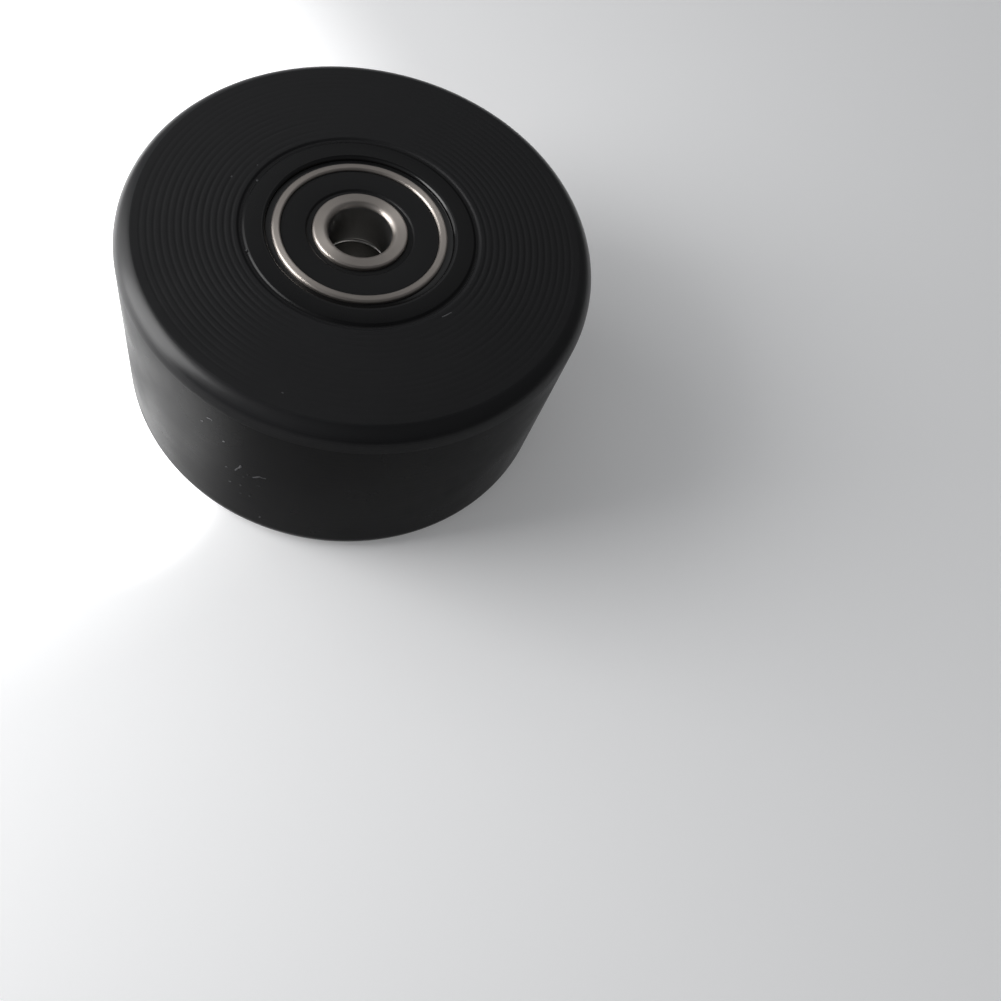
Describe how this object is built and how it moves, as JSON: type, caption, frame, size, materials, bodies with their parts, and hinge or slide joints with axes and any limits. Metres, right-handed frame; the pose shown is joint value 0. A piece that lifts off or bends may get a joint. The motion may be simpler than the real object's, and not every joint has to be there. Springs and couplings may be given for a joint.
{
  "type": "reformer wheel",
  "caption": "Solid wheel with a straight polyurethane tread, turned flat ends with fine grooves and a sealed ball bearing set into each end of its core.",
  "frame": {"origin": "centre of the wheel: on its axis, midway between the two end faces", "axes": "+Z along the wheel's axis, out of the end face that the picture shows; the wheel stands on its other end face"},
  "size_m": [0.06, 0.06, 0.03],
  "materials": {
    "tyre_polyurethane": "satin black polyurethane, turned",
    "core_nylon": "smooth satin black nylon",
    "spacer_steel": "turned steel tube, dull",
    "bearing_steel": "ground bearing steel",
    "seal_rubber": "moulded black rubber",
    "cage_steel": "pressed steel strip",
    "ball_steel": "polished ball steel"
  },
  "bodies": {
    "axle_side": {"spacer": "spacer_steel", "top_inner_ring": "bearing_steel", "bottom_inner_ring": "bearing_steel"},
    "wheel": {"tyre": "tyre_polyurethane", "hub_core": "core_nylon", "top_outer_ring": "bearing_steel", "top_face_seal": "seal_rubber", "top_inside_seal": "seal_rubber", "bottom_outer_ring": "bearing_steel", "bottom_face_seal": "seal_rubber", "bottom_inside_seal": "seal_rubber"},
    "top_cage": {"top_cage_face_half": "cage_steel", "top_cage_inside_half": "cage_steel", "top_cage_rivets": "cage_steel"},
    "top_ball_1": {"top_ball_1": "ball_steel"},
    "top_ball_2": {"top_ball_2": "ball_steel"},
    "top_ball_3": {"top_ball_3": "ball_steel"},
    "top_ball_4": {"top_ball_4": "ball_steel"},
    "top_ball_5": {"top_ball_5": "ball_steel"},
    "top_ball_6": {"top_ball_6": "ball_steel"},
    "top_ball_7": {"top_ball_7": "ball_steel"},
    "bottom_cage": {"bottom_cage_face_half": "cage_steel", "bottom_cage_inside_half": "cage_steel", "bottom_cage_rivets": "cage_steel"},
    "bottom_ball_1": {"bottom_ball_1": "ball_steel"},
    "bottom_ball_2": {"bottom_ball_2": "ball_steel"},
    "bottom_ball_3": {"bottom_ball_3": "ball_steel"},
    "bottom_ball_4": {"bottom_ball_4": "ball_steel"},
    "bottom_ball_5": {"bottom_ball_5": "ball_steel"},
    "bottom_ball_6": {"bottom_ball_6": "ball_steel"},
    "bottom_ball_7": {"bottom_ball_7": "ball_steel"}
  },
  "joints": [
    {"name": "wheel_spin", "type": "hinge", "parent": "axle_side", "child": "wheel", "pos_m": [0, 0, 0], "axis": [0, 0, 1], "continuous": true},
    {"name": "top_cage_orbit", "type": "hinge", "parent": "axle_side", "child": "top_cage", "pos_m": [0, 0, 0.01135], "axis": [0, 0, 1], "continuous": true},
    {"name": "top_ball_1_roll", "type": "hinge", "parent": "top_cage", "child": "top_ball_1", "pos_m": [0.00676, 0.00325, 0.01135], "axis": [0, 0, 1], "continuous": true},
    {"name": "top_ball_2_roll", "type": "hinge", "parent": "top_cage", "child": "top_ball_2", "pos_m": [0.00167, 0.00731, 0.01135], "axis": [0, 0, 1], "continuous": true},
    {"name": "top_ball_3_roll", "type": "hinge", "parent": "top_cage", "child": "top_ball_3", "pos_m": [-0.00468, 0.00586, 0.01135], "axis": [0, 0, 1], "continuous": true},
    {"name": "top_ball_4_roll", "type": "hinge", "parent": "top_cage", "child": "top_ball_4", "pos_m": [-0.0075, 0, 0.01135], "axis": [0, 0, 1], "continuous": true},
    {"name": "top_ball_5_roll", "type": "hinge", "parent": "top_cage", "child": "top_ball_5", "pos_m": [-0.00468, -0.00586, 0.01135], "axis": [0, 0, 1], "continuous": true},
    {"name": "top_ball_6_roll", "type": "hinge", "parent": "top_cage", "child": "top_ball_6", "pos_m": [0.00167, -0.00731, 0.01135], "axis": [0, 0, 1], "continuous": true},
    {"name": "top_ball_7_roll", "type": "hinge", "parent": "top_cage", "child": "top_ball_7", "pos_m": [0.00676, -0.00325, 0.01135], "axis": [0, 0, 1], "continuous": true},
    {"name": "bottom_cage_orbit", "type": "hinge", "parent": "axle_side", "child": "bottom_cage", "pos_m": [0, 0, -0.01135], "axis": [0, 0, 1], "continuous": true},
    {"name": "bottom_ball_1_roll", "type": "hinge", "parent": "bottom_cage", "child": "bottom_ball_1", "pos_m": [0.00676, 0.00325, -0.01135], "axis": [0, 0, 1], "continuous": true},
    {"name": "bottom_ball_2_roll", "type": "hinge", "parent": "bottom_cage", "child": "bottom_ball_2", "pos_m": [0.00167, 0.00731, -0.01135], "axis": [0, 0, 1], "continuous": true},
    {"name": "bottom_ball_3_roll", "type": "hinge", "parent": "bottom_cage", "child": "bottom_ball_3", "pos_m": [-0.00468, 0.00586, -0.01135], "axis": [0, 0, 1], "continuous": true},
    {"name": "bottom_ball_4_roll", "type": "hinge", "parent": "bottom_cage", "child": "bottom_ball_4", "pos_m": [-0.0075, 0, -0.01135], "axis": [0, 0, 1], "continuous": true},
    {"name": "bottom_ball_5_roll", "type": "hinge", "parent": "bottom_cage", "child": "bottom_ball_5", "pos_m": [-0.00468, -0.00586, -0.01135], "axis": [0, 0, 1], "continuous": true},
    {"name": "bottom_ball_6_roll", "type": "hinge", "parent": "bottom_cage", "child": "bottom_ball_6", "pos_m": [0.00167, -0.00731, -0.01135], "axis": [0, 0, 1], "continuous": true},
    {"name": "bottom_ball_7_roll", "type": "hinge", "parent": "bottom_cage", "child": "bottom_ball_7", "pos_m": [0.00676, -0.00325, -0.01135], "axis": [0, 0, 1], "continuous": true}
  ],
  "couplings": [
    {"joint": "top_cage_orbit", "follows": "wheel_spin", "ratio": 0.6323},
    {"joint": "top_ball_1_roll", "follows": "wheel_spin", "ratio": 1.7573},
    {"joint": "top_ball_2_roll", "follows": "wheel_spin", "ratio": 1.7573},
    {"joint": "top_ball_3_roll", "follows": "wheel_spin", "ratio": 1.7573},
    {"joint": "top_ball_4_roll", "follows": "wheel_spin", "ratio": 1.7573},
    {"joint": "top_ball_5_roll", "follows": "wheel_spin", "ratio": 1.7573},
    {"joint": "top_ball_6_roll", "follows": "wheel_spin", "ratio": 1.7573},
    {"joint": "top_ball_7_roll", "follows": "wheel_spin", "ratio": 1.7573},
    {"joint": "bottom_cage_orbit", "follows": "wheel_spin", "ratio": 0.6323},
    {"joint": "bottom_ball_1_roll", "follows": "wheel_spin", "ratio": 1.7573},
    {"joint": "bottom_ball_2_roll", "follows": "wheel_spin", "ratio": 1.7573},
    {"joint": "bottom_ball_3_roll", "follows": "wheel_spin", "ratio": 1.7573},
    {"joint": "bottom_ball_4_roll", "follows": "wheel_spin", "ratio": 1.7573},
    {"joint": "bottom_ball_5_roll", "follows": "wheel_spin", "ratio": 1.7573},
    {"joint": "bottom_ball_6_roll", "follows": "wheel_spin", "ratio": 1.7573},
    {"joint": "bottom_ball_7_roll", "follows": "wheel_spin", "ratio": 1.7573}
  ]
}
